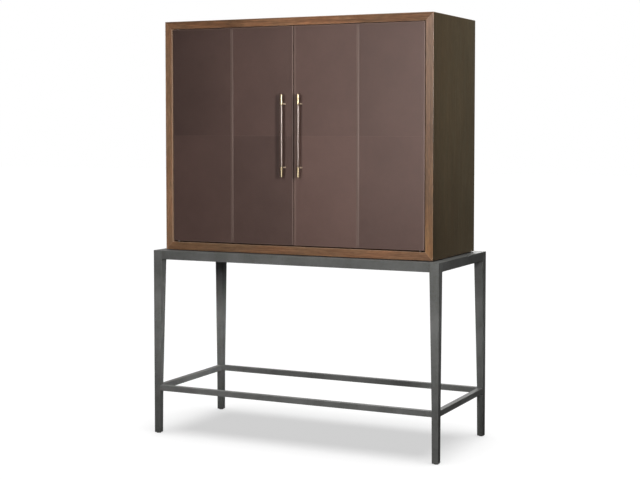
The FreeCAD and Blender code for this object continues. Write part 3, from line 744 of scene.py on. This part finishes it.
gripWrap = {
    "thick": 0.0014, "steps": 48, "rows": 40, "sharp": 50,
    "hem": 0.0011, "hemDrop": 0.0007,
    "seamWidth": 0.0012, "seamHeight": 0.00045,
    "look": {"Specular IOR Level": 1.0, "Specular Tint": (1.0, 0.85, 0.78, 1.0), "Coat Weight": 0.6,
             "Coat Roughness": 0.28},
    "hide": (0.062, 0.036, 0.027), "deep": (0.044, 0.025, 0.018),
    "pebblesPerMetre": 1500.0, "grainDepth": 0.0000015, "roughness": (0.29, 0.33),
}


def gripLeather():
    material, tree, shader, place = newFinish("gripLeather", gripWrap["look"])
    skin = placed(tree, leatherHide, {"Vector": place, "Hide": colour(gripWrap["hide"]),
                                      "Deep": colour(gripWrap["deep"]),
                                      "Pebble": gripWrap["pebblesPerMetre"]})
    feed(tree, shader.inputs["Base Color"], skin["Color"])
    feed(tree, shader.inputs["Roughness"], spread(tree, skin["Roughness"], *leatherPattern["roughness"],
                                                  *gripWrap["roughness"]))
    bumped(tree, shader, skin["Height"], gripWrap["grainDepth"])
    return material


def addGrip(side, material):
    cad = f"door_{side}_handle_grip"
    low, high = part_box(cad)
    axis = (low + high) / 2
    radius = (high.x - low.x) / 2
    inner = radius - gripWrap["thick"]
    hem, drop, rows = gripWrap["hem"], gripWrap["hemDrop"], gripWrap["rows"]
    profile = [(inner, low.z), (radius - drop, low.z), (radius, low.z + hem)]
    profile += [(radius, low.z + hem + (high.z - low.z - 2 * hem) * i / rows) for i in range(1, rows)]
    profile += [(radius, high.z - hem), (radius - drop, high.z), (inner, high.z)]
    bm = bmesh.new()
    line = [bm.verts.new((axis.x, axis.y + r, z)) for r, z in profile]
    edges = [bm.edges.new(pair) for pair in zip(line, line[1:] + line[:1])]
    bmesh.ops.spin(bm, geom=line + edges, cent=(axis.x, axis.y, 0), axis=(0, 0, 1), angle=2 * math.pi,
                   steps=gripWrap["steps"], use_merge=True)
    bmesh.ops.remove_doubles(bm, verts=bm.verts, dist=touching)
    # the seam stands up a little at the back
    for v in bm.verts:
        off = abs(v.co.x - axis.x)
        if v.co.y > axis.y and off < gripWrap["seamWidth"]:
            v.co.y += gripWrap["seamHeight"] * (1 - off / gripWrap["seamWidth"])
    piece = finished(bm, f"door_{side}_grip_wrap", material, f"door_{side}",
                     gripWrap["sharp"])
    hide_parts(cad)


gripMaterial = gripLeather()
for side in bothSides:
    addGrip(side, gripMaterial)
print("grips wrapped")


# Camera, floor and light

photoView = {"place": (2.4449, -5.0768, 1.2878), "turn": 0.4481, "tilt": 0.0519,
             "focalPixels": 1353.1, "raisedPixels": 42.2, "imageWidth": 640, "sensor": 36.0}


def addCamera():
    data = bpy.data.cameras.new("photoCamera")
    data.sensor_fit = "HORIZONTAL"
    data.sensor_width = photoView["sensor"]
    data.lens = photoView["focalPixels"] * photoView["sensor"] / photoView["imageWidth"]
    data.shift_y = -photoView["raisedPixels"] / photoView["imageWidth"]
    camera = bpy.data.objects.new("photoCamera", data)
    camera.location = photoView["place"]
    camera.rotation_euler = (math.pi / 2 - photoView["tilt"], 0, photoView["turn"])
    scene.collection.objects.link(camera)
    scene.camera = camera


# the floor is pale to the camera and dim to the object, which it would light from below
studioFloor = {"reach": 30.0, "pale": 0.43, "unseen": 0.06, "glow": 0.621}


def addFloor():
    bm = bmesh.new()
    bmesh.ops.create_grid(bm, x_segments=1, y_segments=1, size=studioFloor["reach"])
    mesh = bpy.data.meshes.new("studioFloor")
    bm.to_mesh(mesh)
    bm.free()
    material = bpy.data.materials.new("paleFloor")
    tree = emptied(material)
    path = node(tree, "LightPath")
    seen = maths(tree, "MAXIMUM", path.outputs["Is Camera Ray"], path.outputs["Is Transmission Ray"])
    matte = node(tree, "BsdfDiffuse", {"Color": spread(tree, seen, 0.0, 1.0, studioFloor["unseen"],
                                                       studioFloor["pale"])})
    glow = node(tree, "Emission", {"Strength": maths(tree, "MULTIPLY", seen, studioFloor["glow"])})
    both = node(tree, "AddShader", {0: matte.outputs["BSDF"], 1: glow.outputs["Emission"]})
    node(tree, "OutputMaterial", {"Surface": both.outputs["Shader"]})
    mesh.materials.append(material)
    floor = bpy.data.objects.new("studioFloor", mesh)
    scene.collection.objects.link(floor)
    return floor


studioWorld = {"front": 0.012, "behind": 0.03, "turnsAt": (-0.15, 0.40), "sweep": (0.75, 0.92), "white": 1.0}


def addWorld():
    # a white sweep behind the object and a dim room on the camera's side
    world = bpy.data.worlds.new("studioWorld")
    scene.world = world
    tree = emptied(world)
    path = node(tree, "LightPath")
    direction = node(tree, "TexCoord").outputs["Generated"]
    heading = node(tree, "SeparateXYZ", {"Vector": direction})
    behind = spread(tree, heading.outputs["Y"], *studioWorld["turnsAt"], smooth=True)
    straight = (-math.sin(photoView["turn"]), math.cos(photoView["turn"]), 0.0)
    away = vectorMaths(tree, "DOT_PRODUCT", direction, straight)
    sweep = spread(tree, away, *studioWorld["sweep"])
    mirrored = maths(tree, "MAXIMUM", path.outputs["Is Glossy Ray"], path.outputs["Is Transmission Ray"])
    seen = maths(tree, "MAXIMUM", path.outputs["Is Camera Ray"], maths(tree, "MULTIPLY", mirrored, sweep))
    level = spread(tree, behind, 0.0, 1.0, studioWorld["front"], studioWorld["behind"])
    room, backdrop = [node(tree, "Background", {"Color": colour(plainWhite), "Strength": strength})
                      for strength in (level, studioWorld["white"])]
    both = node(tree, "MixShader", {0: seen, 1: room.outputs["Background"],
                                    2: backdrop.outputs["Background"]})
    node(tree, "OutputWorld", {"Surface": both.outputs["Shader"]})


# each lamp shines at its aim from an azimuth and a height in degrees; 0 is straight in front
lamps = {
    "keyBox": {"aim": (-0.037, -0.27, 1.255), "azimuth": 11, "rise": 8.6, "away": 2.6, "size": (0.26, 1.40),
               "power": 40.4, "beam": 180},
    "sideBox": {"aim": (-0.037, -0.27, 1.255), "azimuth": 47, "rise": 7.0, "away": 2.4, "size": (0.32, 0.60),
                "power": 17.1, "beam": 100},
    "baseBox": {"aim": (-0.64, 0.05, 0.40), "azimuth": 48, "rise": 11.5, "away": 2.6, "size": (0.40, 0.25),
                "power": 0.72, "beam": 15},
    "rimBox": {"aim": (0.64, 0.27, 0.45), "azimuth": 26, "rise": 0.0, "away": 2.2, "size": (0.30, 0.30),
               "power": 0.23, "beam": 20},
    "backBox": {"aim": (0.0, 0.24, 1.25), "azimuth": 188, "rise": 10.0, "away": 2.6, "size": (1.20, 0.80),
                "power": 40.0, "beam": 180},
    "leftBox": {"aim": (-0.60, 0.06, 1.25), "azimuth": -98, "rise": 10.0, "away": 2.4, "size": (1.00, 0.80),
                "power": 34.0, "beam": 180},
}
overhead = {"height": 4.0, "angle": 19, "lean": 1.3, "tilt": 1.2, "strength": 3.1}        # angles in degrees


def leftOut(name, pieces):
    group = bpy.data.collections.new(name)
    for piece in pieces:
        group.objects.link(piece)
    for entry in group.collection_objects:
        entry.light_linking.link_state = "EXCLUDE"
    return group


def addBoxes(floor):
    # the boxes leave out the floor, where only the overhead light casts a shadow
    offFloor = leftOut("offFloor", [floor])
    for name, lamp in lamps.items():
        data = bpy.data.lights.new(name, "AREA")
        data.shape = "RECTANGLE"
        data.size, data.size_y = lamp["size"]
        data.energy = lamp["power"]
        data.spread = math.radians(lamp["beam"])
        light = bpy.data.objects.new(name, data)
        azimuth, rise = math.radians(lamp["azimuth"]), math.radians(lamp["rise"])
        level = math.cos(rise)
        towards = Vector((math.sin(azimuth) * level, -math.cos(azimuth) * level, math.sin(rise)))
        light.location = Vector(lamp["aim"]) + towards * lamp["away"]
        light.rotation_euler = (-towards).to_track_quat("-Z", "Y").to_euler()
        light.visible_camera = False
        light.light_linking.receiver_collection = offFloor
        scene.collection.objects.link(light)


def addOverhead():
    data = bpy.data.lights.new("overhead", "SUN")
    data.angle = math.radians(overhead["angle"])
    data.energy = overhead["strength"]
    light = bpy.data.objects.new("overhead", data)
    light.location = (0, 0, overhead["height"])
    light.rotation_euler = (math.radians(overhead["lean"]), math.radians(overhead["tilt"]), 0)
    # the thin stretchers draw no lines in the soft shadow
    thinBars = leftOut("thinBars", [nodes[name] for name in steelBase["pieces"]["stretchers"]])
    light.light_linking.blocker_collection = thinBars
    scene.collection.objects.link(light)


addCamera()
addWorld()
addBoxes(addFloor())
addOverhead()
print("camera, floor and light set")
